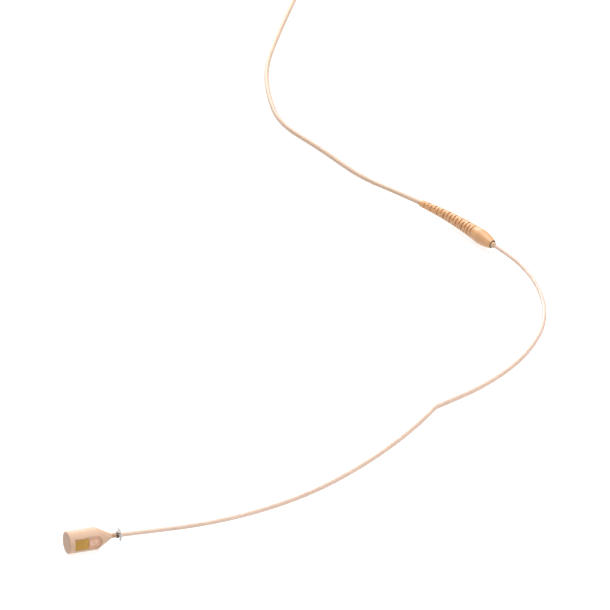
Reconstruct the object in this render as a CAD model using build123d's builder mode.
"""Headset microphone: a capsule on a formed wire boom, a cable socket in a slotted relief, and a
cable with a locking plug.

Millimetres, +Z up. The microphone lies on a flat surface at Z = 0. Its origin is the middle of the
box around the capsule, boom and relief, on that surface. The wearer's mouth is on the capsule's -Y side.
"""

import os
from math import cos, pi, radians, sin, sqrt, tan

from build123d import *

os.makedirs("parts", exist_ok=True)

# ---- Driving dimensions ----------------------------------------------------------------------

axis_height = 2.7  # capsule, boom and relief share one level plane
running_gap = 0.02  # radial room of the parts that turn or slide
press_gap = 0.01  # radial room of the parts that are pressed or glued in

# Capsule: a turned barrel and a tail cone with one flat milled along both.
# Stations are distances behind the front face.
capsule_radius = 2.7
capsule_front = Vector(-54.5, -86.8, axis_height)
capsule_heading = 27.2  # degrees from +X, from the front face towards the boom
cap_end = 1.3
cap_rounding = 0.3
cap_spigot_end = 1.6
barrel_end = 7.3
cone_spigot_end = 7.9
cone_end = 11.2
cone_tip_radius = 0.6
chamber_back_radius = 1.25  # of the open chamber in the cone
chamber_end = 8.7
flat_distance = 2.05  # from the axis to the flat
flat_tilt = 9  # degrees that the flat looks upwards
pocket_depth = 0.2
pocket_width = 2.8
pocket_end = 8.1
plate_thickness = 0.14
mesh_start = 1.45
mesh_end = 4.85
plate_start = 4.95
plate_end = 7.85
port_start = 2.1
port_end = 4.4
port_width = 2.2
port_rounding = 0.4
bore_radius = 1.6
rear_port_station = 5.9
rear_port_radius = 0.7
rear_mesh_depth = 0.35

# Electret element inside the barrel
can_radius = bore_radius - press_gap
can_bore = can_radius - 0.12
can_start = 1.7
can_front_end = 1.85
diaphragm_ring_start = 1.87
can_end = 5.0
sound_hole_radius = 0.45
diaphragm_station = 2.15
diaphragm_thickness = 0.04
backplate_start = 2.3
backplate_end = 2.65
backplate_radius = 1.15
backplate_holes = 6
backplate_hole_radius = 0.12
backplate_hole_circle = 0.7
holder_bore = 1.0
board_start = 3.95
board_end = 4.25
chip_size = (0.9, 0.7, 0.4)

# Boom: straight runs as (length, 0) and arcs as (radius, turn in degrees), from inside the tail cone
boom_start = 9.0
boom_bends = [
    (cone_end - boom_start, 0),
    (22, -3.2),
    (12.93, 0),
    (102.5, 27.4),
    (163, 14.9),
    (3, -20.2),
    (8.3, 0),
    (84, 14.3),
    (66, 16.1),
    (42.2, 37.1),
    (37, 21.4),
    (4.9, 0),
]
neck_bends = 2  # bends that lie inside the cone and the neck sleeve
# Outside of the sheath at the ends of its runs and arcs, from the grommet to inside the plug
sheath_radii = [0.56, 0.56, 0.6, 0.62, 0.62, 0.62, 0.59, 0.57, 0.52, 0.47, 0.46, 0.46]
sheath_bore = 0.26
tube_radius = 0.25
tube_bore = 0.15
wire_radius = 0.13
neck_start = 10.2
neck_radius = 0.54
sheath_depth = 2.4  # how far the sheath reaches into the boom's plug
grommet_radius = 0.74
grommet_length = 0.45
grommet_chamfer = 0.1
ring_radius = 1.6
ring_thickness = 0.3
ring_station = 0.12  # from the grommet's rear face

# Relief and cable socket. Stations run from the relief's mouth towards its tail.
relief_straight = 6.7
relief_bend_radius = 72
relief_bend = 15
mouth_radius = 1.22
nose_station = 2.0
nose_radius = 1.8
bulge_station = 4.4
bulge_radius = 2.08
waist_radius = 1.9
tail_radius = 1.0
tail_lip = 0.8
tail_end_radius = 0.8
slot_width = 0.32
slot_pitch = 2.3
slot_count = 8
slot_first = 7.2
slot_floor = 0.85  # radius that the slots reach
slot_bridge = 0.75  # width of the bridges between the two halves of a slot
socket_bore = 1.1
socket_depth = 6.9
seal_end = 0.35
barrel_start = 0.45
barrel_back = 5.3
insulator_start = 4.5
contact_radius = 0.35
contact_bore_end = 5.7
contact_end = 6.2
crimp_start = 5.4
held_cable_start = 6.25
plug_radius = 0.75
plug_front = -1.0
plug_back = 3.8
plug_nose = 4.35
plug_nose_radius = 0.67
plug_chamfer = 0.12
pin_radius = 0.15
pin_end = 5.6
pin_chamfer = 0.06

# Free cable, its coil and the locking plug on its end
cable_radius = 0.65
cable_bore = cable_radius + running_gap
turn_gap = 2 * cable_radius  # from one turn of the coil to the next
coil_centre = (-8, 220)
coil_floor = 0.5  # the coil rests on its tie
coil_columns = 5
coil_layers = 6
coil_radius = 7.8  # at the middle of the turns
coil_rounding = 1.2
tie_width = 4.0
tie_thickness = 0.5
tie_heading = -60
entry_heading = 170  # where the cable joins the coil, seen from the coil's middle
exit_heading = 90

# Locking plug. Stations run from the boot's rear face to the tip.
plug_at = Vector(18, 229, 4.2)  # rear face of the boot, on the plug's axis
plug_heading = 0
lead_depth = 0.8  # where the free cable ends inside the boot
boot_tail_radius = 1.2
boot_lip = 0.4
boot_lip_radius = 1.4
boot_radius = 2.3
boot_flange_radius = 2.9
boot_end = 9.6
groove_count = 4
groove_start = 1.6
groove_pitch = 1.4
groove_width = 0.5
groove_floor = 1.15  # radius at the rear face
groove_taper = 0.12  # growth of the floor's radius for each millimetre
clamp_start = 9.7
clamp_end = 10.9
clamp_radius = 1.1
strap_height = -2.9
strap_thickness = 0.3
shell_start = 7.6
shell_nose_end = 8.7
shell_nose_radius = 3.1
shell_wall = 0.8
shell_end = 22.0
shell_radius = 4.0
shell_bore = 3.4
spindle_start = 19.0
spindle_radius = 2.2
lock_start = 22.15
lock_radius = 4.2
grip_start = 22.6
grip_end = 25.4
knurl_end = 26.0
knurl_count = 30
knurl_cut_radius = 0.22
thread_radius = 3.0
thread_end = 29.1
shoulder = 29.2
shoulder_radius = 2.5
jack_start = 29.7
jack_radius = 1.75
sleeve_end = 35.2
sleeve_bore = 1.2
collar = 0.5
collar_bore = 0.95
ring_tube_start = 17.5
ring_tube_radius = 0.94
ring_tube_bore = 0.71
ring_end = 38.4
ring_collar_bore = 0.46
tip_rod_start = 16.0
tip_rod_radius = 0.45
tip_end = 43.7
# Outline of the tip as (distance from its end, radius)
tip_outline = [(4.8, 1.75), (3.9, 1.75), (3.4, 1.2), (2.8, 1.2), (2.0, 1.7), (1.5, 1.7), (0, 0.5)]
inner_insulator_start = 17.4
clamped_end = 11.5  # end of the cable that the clamp holds
tag_starts = (16.0, 17.6)
tag_width = 0.8
tag_length = 1.3
tag_height = 1.2

# Route of the free cable between the relief's tail and the coil, then between the coil and the plug
cable_points = [
    (14.5, 92.5, 2.7),
    (3.6, 101.7, 0.65),
    (-8.6, 114.5, 0.65),
    (-20.6, 124.8, 0.65),
    (-24.9, 139.0, 0.65),
    (-27.3, 156.0, 0.65),
    (-25.0, 178.0, 0.65),
    (-21.6, 203.0, 0.8),
]
lead_points = [
    (-1.0, 230.9, 7.45),
    (6.0, 230.2, 6.1),
    (12.6, 229.2, 4.4),
]


# ---- Helpers ---------------------------------------------------------------------------------


def heading(degrees):
    """Level unit vector at an angle from +X."""
    return Vector(cos(radians(degrees)), sin(radians(degrees)), 0)


def side_plane(origin, along):
    """Plane through an axis: local x is the station along it, local y leans up."""
    return Plane(origin=origin, x_dir=along, z_dir=along.cross(Vector(0, 0, 1)))


def across_plane(origin, along):
    """Plane square to an axis: local x is level, local y leans up."""
    return Plane(origin=origin, x_dir=Vector(0, 0, 1).cross(along), z_dir=along)


def turned(side, outline, mode=Mode.ADD):
    """Turn an outline of (station, radius) points about the side plane's axis."""
    with BuildSketch(side) as profile:
        with BuildLine():
            Polyline(*outline, close=True)
        make_face()
    revolve(profile.sketch, axis=Axis(side.origin, side.x_dir), mode=mode)


def ring(side, start, end, outer, inner=0, mode=Mode.ADD):
    """Turned ring or disc between two stations."""
    turned(side, [(start, inner), (start, outer), (end, outer), (end, inner)], mode)


def bent_line(at, along, bends):
    """Draw straight runs and arcs that follow each other without a corner, and list them."""
    pieces = []
    for size, turning in bends:
        piece = JernArc(at, along, size, turning) if turning else Line(at, at + along * size)
        at = piece @ 1
        along = piece % 1
        pieces.append(piece)
    return pieces


def rod(path, radius, mode=Mode.ADD):
    """Round rod along a line."""
    with BuildSketch(across_plane(path @ 0, path % 0)) as section:
        Circle(radius)
    sweep(section.sketch, path=path, mode=mode)


def tapered_rod(pieces, radii):
    """Round rod along line pieces, with one radius at each end of each piece."""
    for index, piece in enumerate(pieces):
        with BuildSketch(across_plane(piece @ 0, piece % 0)) as first:
            Circle(radii[index])
        with BuildSketch(across_plane(piece @ 1, piece % 1)) as last:
            Circle(radii[index + 1])
        sweep([first.sketch, last.sketch], path=piece, multisection=True)


def cable_path(start, points, end):
    """Smooth path of a cable: straight runs joined by arcs as large as the runs allow."""
    route = [start] + [Vector(*point) for point in points] + [end]
    radii = []
    for before, corner, after in zip(route, route[1:], route[2:]):
        half_turn = radians((corner - before).get_angle(after - corner)) / 2
        radii.append(0.45 * min((corner - before).length, (after - corner).length) / tan(half_turn))
    print("corner radii", [round(radius, 1) for radius in radii])
    with BuildLine() as line:
        FilletPolyline(*route, radius=radii)
    return line.wires()[0]


def report_rod(name, builder, path, radius):
    """Compare a swept rod's volume with its section times its length."""
    expected = pi * radius**2 * path.length
    print(name, "length", round(path.length, 1), "volume ratio", round(builder.part.volume / expected, 4))


def save(builder, name):
    """Label one finished piece and write it."""
    builder.part.label = name
    export_step(builder.part, f"parts/{name}.step")


# ---- Capsule ---------------------------------------------------------------------------------

capsule_axis = heading(capsule_heading)
capsule_side = side_plane(capsule_front, capsule_axis)
flat_normal = capsule_side.z_dir * cos(radians(flat_tilt)) + Vector(0, 0, sin(radians(flat_tilt)))
# Local x is the station on the flat, and local z looks out of it
flat_plane = Plane(capsule_front + flat_normal * flat_distance, x_dir=capsule_axis, z_dir=flat_normal)

pocket_floor = flat_plane.offset(-pocket_depth)
inlay_width = pocket_width - 2 * running_gap
rear_origin = capsule_front + capsule_axis * rear_port_station - flat_normal * capsule_radius
rear_plane = Plane(rear_origin, x_dir=capsule_axis, z_dir=-flat_normal)


def inlay(plane, start, end, width, square_end=False):
    """Outline on the flat, square at the front and round at the back unless told otherwise."""
    half = width / 2
    shoulder = end if square_end else end - half
    with BuildSketch(plane) as outline:
        with BuildLine():
            front = Polyline((shoulder, -half), (start, -half), (start, half), (shoulder, half))
            if square_end:
                Line(front @ 1, front @ 0)
            else:
                ThreePointArc(front @ 1, (end, 0), front @ 0)
        make_face()
    return outline.sketch


def mill_flat():
    """Cut the flat and the pocket that holds the mesh and the marking plate."""
    with BuildSketch(flat_plane) as flat:
        with Locations((cap_end + cone_end / 2, 0)):
            Rectangle(cone_end, 3 * capsule_radius)
    extrude(flat.sketch, amount=capsule_radius, mode=Mode.SUBTRACT)
    pocket = inlay(flat_plane, mesh_start - press_gap, pocket_end, pocket_width)
    extrude(pocket, amount=-pocket_depth, mode=Mode.SUBTRACT)


with BuildPart() as front_cap:
    ring(capsule_side, 0, cap_end, capsule_radius)
    rim = front_cap.edges().filter_by(GeomType.CIRCLE).sort_by(Axis(capsule_front, capsule_axis))[0]
    fillet(rim, radius=cap_rounding)
    ring(capsule_side, cap_end, cap_spigot_end, bore_radius - press_gap)
save(front_cap, "front_cap")

with BuildPart() as capsule_barrel:
    ring(capsule_side, cap_end, barrel_end, capsule_radius)
    mill_flat()
    ring(capsule_side, cap_end, barrel_end, bore_radius, mode=Mode.SUBTRACT)
    # Front sound port behind the mesh
    with BuildSketch(flat_plane) as port:
        with Locations(((port_start + port_end) / 2, 0)):
            RectangleRounded(port_end - port_start, port_width, radius=port_rounding)
    extrude(port.sketch, amount=-capsule_radius / 2, mode=Mode.SUBTRACT)
    # Rear sound port on the opposite side
    with BuildSketch(rear_plane) as rear_port:
        Circle(rear_port_radius)
    extrude(rear_port.sketch, amount=-capsule_radius / 2, mode=Mode.SUBTRACT)
save(capsule_barrel, "capsule_barrel")

with BuildPart() as tail_cone:
    turned(
        capsule_side,
        [
            (barrel_end, 0),
            (barrel_end, capsule_radius),
            (cone_end, cone_tip_radius),
            (cone_end, 0),
        ],
    )
    mill_flat()
    # Open chamber behind the element, then the bore that holds the boom's tube and neck sleeve
    turned(
        capsule_side,
        [
            (barrel_end, 0),
            (barrel_end, bore_radius),
            (cone_spigot_end, chamber_back_radius),
            (chamber_end, tube_radius + press_gap),
            (chamber_end, 0),
        ],
        mode=Mode.SUBTRACT,
    )
    ring(capsule_side, cone_spigot_end, neck_start, tube_radius + press_gap, mode=Mode.SUBTRACT)
    ring(capsule_side, neck_start, cone_end, neck_radius + press_gap, mode=Mode.SUBTRACT)
save(tail_cone, "tail_cone")

with BuildPart() as port_mesh:
    mesh = inlay(pocket_floor, mesh_start, mesh_end, inlay_width, square_end=True)
    extrude(mesh, amount=plate_thickness)
save(port_mesh, "port_mesh")

with BuildPart() as marking_plate:
    extrude(inlay(pocket_floor, plate_start, plate_end, inlay_width), amount=plate_thickness)
save(marking_plate, "marking_plate")

with BuildPart() as rear_port_mesh:
    with BuildSketch(rear_plane.offset(-rear_mesh_depth)) as rear_disc:
        Circle(rear_port_radius - press_gap)
    extrude(rear_disc.sketch, amount=-plate_thickness)
save(rear_port_mesh, "rear_port_mesh")

# ---- Electret element ------------------------------------------------------------------------

with BuildPart() as element_can:
    ring(capsule_side, can_start, can_end, can_radius)
    ring(capsule_side, can_front_end, can_end, can_bore, mode=Mode.SUBTRACT)
    ring(capsule_side, can_start, can_front_end, sound_hole_radius, mode=Mode.SUBTRACT)
save(element_can, "element_can")

with BuildPart() as diaphragm_ring:
    ring(capsule_side, diaphragm_ring_start, diaphragm_station, can_bore - press_gap, backplate_radius)
save(diaphragm_ring, "diaphragm_ring")

with BuildPart() as diaphragm:
    ring(capsule_side, diaphragm_station, diaphragm_station + diaphragm_thickness, can_bore - press_gap)
save(diaphragm, "diaphragm")

with BuildPart() as spacer_ring:
    ring(
        capsule_side,
        diaphragm_station + diaphragm_thickness,
        backplate_start,
        can_bore - press_gap,
        backplate_radius + press_gap,
    )
save(spacer_ring, "spacer_ring")

with BuildPart() as backplate:
    ring(capsule_side, backplate_start, backplate_end, backplate_radius)
    with BuildSketch(across_plane(capsule_front + capsule_axis * backplate_start, capsule_axis)) as holes:
        with PolarLocations(backplate_hole_circle, backplate_holes):
            Circle(backplate_hole_radius)
    extrude(holes.sketch, amount=backplate_end - backplate_start, mode=Mode.SUBTRACT)
save(backplate, "backplate")

with BuildPart() as backplate_holder:
    ring(capsule_side, backplate_start + press_gap, board_start, can_bore - press_gap, holder_bore)
    ring(
        capsule_side,
        backplate_start,
        backplate_end + press_gap,
        backplate_radius + press_gap,
        mode=Mode.SUBTRACT,
    )
save(backplate_holder, "backplate_holder")

with BuildPart() as amplifier_board:
    ring(capsule_side, board_start, board_end, can_bore - press_gap)
save(amplifier_board, "amplifier_board")

with BuildPart() as amplifier_chip:
    with BuildSketch(across_plane(capsule_front + capsule_axis * board_start, capsule_axis)) as chip:
        Rectangle(chip_size[0], chip_size[1])
    extrude(chip.sketch, amount=-chip_size[2])
save(amplifier_chip, "amplifier_chip")

# ---- Boom ------------------------------------------------------------------------------------

boom_origin = capsule_front + capsule_axis * boom_start
with BuildLine() as boom_line:
    boom_pieces = bent_line(boom_origin, capsule_axis, boom_bends)
mouth = boom_pieces[-1] @ 1
relief_axis = boom_pieces[-1] % 1
relief_side = side_plane(mouth, relief_axis)
stalk = boom_pieces[neck_bends] @ 0
stalk_axis = boom_pieces[neck_bends] % 0
stalk_side = side_plane(stalk, stalk_axis)
print("stalk", stalk, "along", stalk_axis)
print("mouth", mouth, "along", relief_axis)

with BuildLine() as tube_line:
    bent_line(boom_origin, capsule_axis, boom_bends)
    Line(mouth, mouth + relief_axis * plug_back)
tube_path = tube_line.wires()[0]

with BuildPart() as boom_tube:
    rod(tube_path, tube_radius)
    rod(tube_path, tube_bore, mode=Mode.SUBTRACT)
report_rod("boom_tube", boom_tube, tube_path, sqrt(tube_radius**2 - tube_bore**2))
save(boom_tube, "boom_tube")

with BuildLine() as wire_line:
    Line(capsule_front + capsule_axis * board_end, boom_origin)
    bent_line(boom_origin, capsule_axis, boom_bends)
    Line(mouth, mouth + relief_axis * plug_back)
wire_path = wire_line.wires()[0]

with BuildPart() as boom_wire:
    rod(wire_path, wire_radius)
report_rod("boom_wire", boom_wire, wire_path, wire_radius)
save(boom_wire, "boom_wire")

with BuildLine() as neck_line:
    bent_line(
        capsule_front + capsule_axis * neck_start,
        capsule_axis,
        [(cone_end - neck_start, 0)] + boom_bends[1:neck_bends],
    )
neck_path = neck_line.wires()[0]

with BuildPart() as neck_sleeve:
    rod(neck_path, neck_radius)
    rod(neck_path, sheath_bore, mode=Mode.SUBTRACT)
save(neck_sleeve, "neck_sleeve")

with BuildPart() as neck_grommet:
    ring(stalk_side, 0, grommet_length, grommet_radius, sheath_bore)
    grommet_rims = neck_grommet.edges().filter_by(GeomType.CIRCLE).group_by(SortBy.RADIUS)[-1]
    chamfer(grommet_rims, length=grommet_chamfer)
save(neck_grommet, "neck_grommet")

with BuildPart() as drip_ring:
    ring_start = grommet_length + ring_station
    ring(
        stalk_side,
        ring_start,
        ring_start + ring_thickness,
        ring_radius,
        sheath_radii[0] + running_gap,
    )
save(drip_ring, "drip_ring")

with BuildLine() as sheath_line:
    sheath_start = Line(stalk + stalk_axis * grommet_length, boom_pieces[neck_bends] @ 1)
    sheath_end = Line(mouth, mouth + relief_axis * sheath_depth)
sheath_pieces = [sheath_start] + boom_pieces[neck_bends + 1 :] + [sheath_end]

with BuildPart() as boom_sheath:
    tapered_rod(sheath_pieces, sheath_radii)
    rod(tube_path, sheath_bore, mode=Mode.SUBTRACT)
print("boom_sheath volume", boom_sheath.part.volume)
save(boom_sheath, "boom_sheath")

# ---- Boom plug -------------------------------------------------------------------------------

with BuildPart() as boom_plug_body:
    ring(relief_side, plug_front, plug_back, plug_radius)
    ring(relief_side, plug_front, sheath_depth, sheath_radii[-1] + press_gap, mode=Mode.SUBTRACT)
    ring(relief_side, sheath_depth, plug_back, sheath_bore, mode=Mode.SUBTRACT)
    rims = boom_plug_body.edges().filter_by(GeomType.CIRCLE).group_by(SortBy.RADIUS)[-1]
    chamfer(rims, length=plug_chamfer)
save(boom_plug_body, "boom_plug_body")

with BuildPart() as boom_plug_insulator:
    ring(relief_side, plug_back, plug_nose, plug_nose_radius, pin_radius)
save(boom_plug_insulator, "boom_plug_insulator")

with BuildPart() as boom_plug_pin:
    ring(relief_side, plug_back, pin_end, pin_radius)
    pin_rim = boom_plug_pin.edges().filter_by(GeomType.CIRCLE).sort_by(Axis(mouth, relief_axis))[-1]
    chamfer(pin_rim, length=pin_chamfer)
save(boom_plug_pin, "boom_plug_pin")

# ---- Relief and cable socket -----------------------------------------------------------------

bend_start = mouth + relief_axis * relief_straight
with BuildLine() as relief_line:
    relief_arc = JernArc(bend_start, relief_axis, relief_bend_radius, relief_bend)
    relief_lip = Line(relief_arc @ 1, (relief_arc @ 1) + (relief_arc % 1) * tail_lip)
relief_tail = relief_lip @ 1
print("relief tail", relief_tail, "along", relief_lip % 1)

with BuildLine() as held_line:
    Line(mouth + relief_axis * held_cable_start, bend_start)
    JernArc(bend_start, relief_axis, relief_bend_radius, relief_bend)
    Line(relief_arc @ 1, relief_tail)
held_path = held_line.wires()[0]

with BuildPart() as relief_boot:
    with BuildSketch(relief_side) as front_profile:
        with BuildLine():
            nose = ThreePointArc(
                (0, mouth_radius),
                (nose_station, nose_radius),
                (bulge_station, bulge_radius),
            )
            waist = Spline(
                nose @ 1,
                (relief_straight, waist_radius),
                tangents=[(1, 0), (1, (tail_radius - waist_radius) / relief_arc.length)],
            )
            Polyline(waist @ 1, (relief_straight, 0), (0, 0), nose @ 0)
        make_face()
    revolve(front_profile.sketch, axis=Axis(mouth, relief_axis))
    tapered_rod([relief_arc, relief_lip], [waist_radius, tail_radius, tail_end_radius])
    ring(relief_side, 0, socket_depth, socket_bore, mode=Mode.SUBTRACT)
    rod(held_path, cable_bore, mode=Mode.SUBTRACT)
    # Two families of slots, cut from above and below and then from both sides
    for index in range(slot_count):
        for half_pitch, quarter in ((0, 0), (slot_pitch / 2, 90)):
            along_arc = slot_first + index * slot_pitch + half_pitch - relief_straight
            at = relief_arc @ (along_arc / relief_arc.length)
            square = across_plane(at, relief_arc % (along_arc / relief_arc.length))
            with BuildSketch(square) as slots:
                Circle(2 * waist_radius)
                Circle(slot_floor, mode=Mode.SUBTRACT)
                Rectangle(4 * waist_radius, slot_bridge, rotation=quarter, mode=Mode.SUBTRACT)
            extrude(slots.sketch, amount=slot_width / 2, both=True, mode=Mode.SUBTRACT)
save(relief_boot, "relief_boot")

with BuildPart() as seal_ring:
    ring(relief_side, 0, seal_end, socket_bore - running_gap, plug_radius + running_gap)
save(seal_ring, "seal_ring")

with BuildPart() as socket_barrel:
    ring(relief_side, barrel_start, barrel_back, socket_bore - press_gap, plug_radius + running_gap)
save(socket_barrel, "socket_barrel")

with BuildPart() as socket_insulator:
    ring(
        relief_side,
        insulator_start,
        barrel_back,
        plug_radius + running_gap - press_gap,
        contact_radius + press_gap,
    )
save(socket_insulator, "socket_insulator")

with BuildPart() as socket_contact:
    ring(relief_side, insulator_start, contact_end, contact_radius)
    ring(relief_side, insulator_start, contact_bore_end, pin_radius + running_gap, mode=Mode.SUBTRACT)
save(socket_contact, "socket_contact")

with BuildPart() as crimp_sleeve:
    ring(relief_side, crimp_start, socket_depth - press_gap, socket_bore - press_gap)
    ring(relief_side, crimp_start, socket_depth, cable_bore, mode=Mode.SUBTRACT)
save(crimp_sleeve, "crimp_sleeve")

with BuildPart() as held_cable:
    rod(held_path, cable_radius)
save(held_cable, "held_cable")

# ---- Free cable ------------------------------------------------------------------------------

middle = Vector(coil_centre[0], coil_centre[1], 0)
outer_turn = coil_radius + (coil_columns - 1) / 2 * turn_gap
coil_top = coil_floor + coil_layers * turn_gap
coil_entry = middle + heading(entry_heading) * outer_turn + Vector(0, 0, coil_floor + cable_radius)
coil_exit = middle + heading(exit_heading) * outer_turn + Vector(0, 0, coil_top - cable_radius)
plug_axis = heading(plug_heading)
cable_route = cable_path(relief_tail, cable_points, coil_entry)
lead_route = cable_path(coil_exit, lead_points, plug_at + plug_axis * lead_depth)

with BuildPart() as cable_tube:
    rod(cable_route, cable_radius)
report_rod("cable_tube", cable_tube, cable_route, cable_radius)
save(cable_tube, "cable_tube")

with BuildPart() as cable_coil:
    bundle_width = coil_columns * turn_gap
    bundle_height = coil_layers * turn_gap
    with BuildSketch(side_plane(middle, heading(0))) as bundle:
        with Locations((coil_radius, coil_floor + bundle_height / 2)):
            RectangleRounded(bundle_width, bundle_height, radius=coil_rounding)
    revolve(bundle.sketch, axis=Axis(middle, (0, 0, 1)))
save(cable_coil, "cable_coil")

with BuildPart() as coil_tie:
    with BuildSketch(side_plane(middle, heading(tie_heading))) as band:
        with Locations((coil_radius, coil_floor + bundle_height / 2)):
            RectangleRounded(
                bundle_width + 2 * tie_thickness,
                bundle_height + 2 * tie_thickness,
                radius=coil_rounding + tie_thickness,
            )
            RectangleRounded(bundle_width, bundle_height, radius=coil_rounding, mode=Mode.SUBTRACT)
    extrude(band.sketch, amount=tie_width / 2, both=True)
save(coil_tie, "coil_tie")

with BuildPart() as plug_lead:
    rod(lead_route, cable_radius)
report_rod("plug_lead", plug_lead, lead_route, cable_radius)
save(plug_lead, "plug_lead")

# ---- Locking plug. Stations run from the boot's rear face to the plug's tip ------------------

plug_side = side_plane(plug_at, plug_axis)

with BuildPart() as clamped_cable:
    ring(plug_side, lead_depth, clamped_end, cable_radius)
save(clamped_cable, "clamped_cable")

with BuildPart() as plug_boot:
    turned(
        plug_side,
        [
            (0, 0),
            (0, boot_tail_radius),
            (boot_lip, boot_lip_radius),
            (shell_start, boot_radius),
            (shell_start + shell_wall, boot_radius),
            (shell_start + shell_wall, boot_flange_radius),
            (boot_end, boot_flange_radius),
            (boot_end, 0),
        ],
    )
    for index in range(groove_count):
        station = groove_start + groove_pitch * index
        floor_radius = groove_floor + groove_taper * station
        ring(plug_side, station, station + groove_width, shell_radius, floor_radius, mode=Mode.SUBTRACT)
    ring(plug_side, 0, boot_end, cable_bore, mode=Mode.SUBTRACT)
save(plug_boot, "plug_boot")

with BuildPart() as plug_shell:
    turned(
        plug_side,
        [
            (shell_start, boot_radius + running_gap),
            (shell_start, shell_nose_radius),
            (shell_nose_end, shell_radius),
            (shell_end, shell_radius),
            (shell_end, shell_bore),
            (shell_start + shell_wall, shell_bore),
            (shell_start + shell_wall, boot_radius + running_gap),
        ],
    )
save(plug_shell, "plug_shell")

with BuildPart() as sleeve_contact:
    turned(
        plug_side,
        [
            (spindle_start, 0),
            (spindle_start, shell_bore - press_gap),
            (shell_end, shell_bore - press_gap),
            (shell_end, spindle_radius),
            (shoulder, spindle_radius),
            (shoulder, shoulder_radius),
            (jack_start, shoulder_radius),
            (jack_start, jack_radius),
            (sleeve_end, jack_radius),
            (sleeve_end, 0),
        ],
    )
    ring(plug_side, spindle_start, sleeve_end, sleeve_bore, mode=Mode.SUBTRACT)
save(sleeve_contact, "sleeve_contact")

with BuildPart() as ring_contact:
    ring(plug_side, sleeve_end + collar, ring_end, jack_radius)
    ring(plug_side, ring_tube_start, sleeve_end + collar, ring_tube_radius)
    ring(plug_side, ring_tube_start, ring_end, ring_tube_bore, mode=Mode.SUBTRACT)
save(ring_contact, "ring_contact")

with BuildPart() as tip_contact:
    tip_profile = [(tip_end - distance, radius) for distance, radius in tip_outline]
    ring(plug_side, tip_rod_start, ring_end + collar, tip_rod_radius)
    turned(plug_side, [(ring_end + collar, 0)] + tip_profile + [(tip_end, 0)])
save(tip_contact, "tip_contact")

with BuildPart() as plug_insulators:
    outer_radius = sleeve_bore - press_gap
    inner_radius = ring_tube_bore - press_gap
    ring(plug_side, sleeve_end, sleeve_end + collar, jack_radius, collar_bore)
    ring(plug_side, spindle_start, sleeve_end, outer_radius, collar_bore)
    ring(plug_side, ring_end, ring_end + collar, jack_radius, ring_collar_bore)
    ring(plug_side, inner_insulator_start, ring_end, inner_radius, ring_collar_bore)
save(plug_insulators, "plug_insulators")

with BuildPart() as solder_tags:
    for tag_start, tag_radius in zip(tag_starts, (tip_rod_radius, ring_tube_radius)):
        with BuildSketch(plug_side.offset(-tag_width / 2)) as tag:
            with Locations((tag_start + tag_length / 2, tag_radius + tag_height / 2)):
                Rectangle(tag_length, tag_height)
        extrude(tag.sketch, amount=tag_width)
save(solder_tags, "solder_tags")

with BuildPart() as cable_clamp:
    ring(plug_side, clamp_start, clamp_end, clamp_radius, cable_bore)
    with BuildSketch(plug_side.offset(-tag_width / 2)) as strap:
        with Locations(((clamp_start + spindle_start) / 2, strap_height)):
            Rectangle(spindle_start - clamp_start, strap_thickness)
        with Locations(((clamp_start + clamp_end) / 2, (strap_height - cable_bore) / 2)):
            Rectangle(clamp_end - clamp_start, -strap_height - cable_bore)
    extrude(strap.sketch, amount=tag_width)
save(cable_clamp, "cable_clamp")

with BuildPart() as lock_ring:
    ring(plug_side, lock_start, knurl_end, lock_radius)
    ring(plug_side, knurl_end, thread_end, thread_radius)
    ring(plug_side, lock_start, thread_end, spindle_radius + running_gap, mode=Mode.SUBTRACT)
    knurl_plane = across_plane(plug_at + plug_axis * grip_start, plug_axis)
    with BuildSketch(knurl_plane) as knurl:
        with PolarLocations(lock_radius, knurl_count):
            Circle(knurl_cut_radius)
    extrude(knurl.sketch, amount=grip_end - grip_start, mode=Mode.SUBTRACT)
save(lock_ring, "lock_ring")
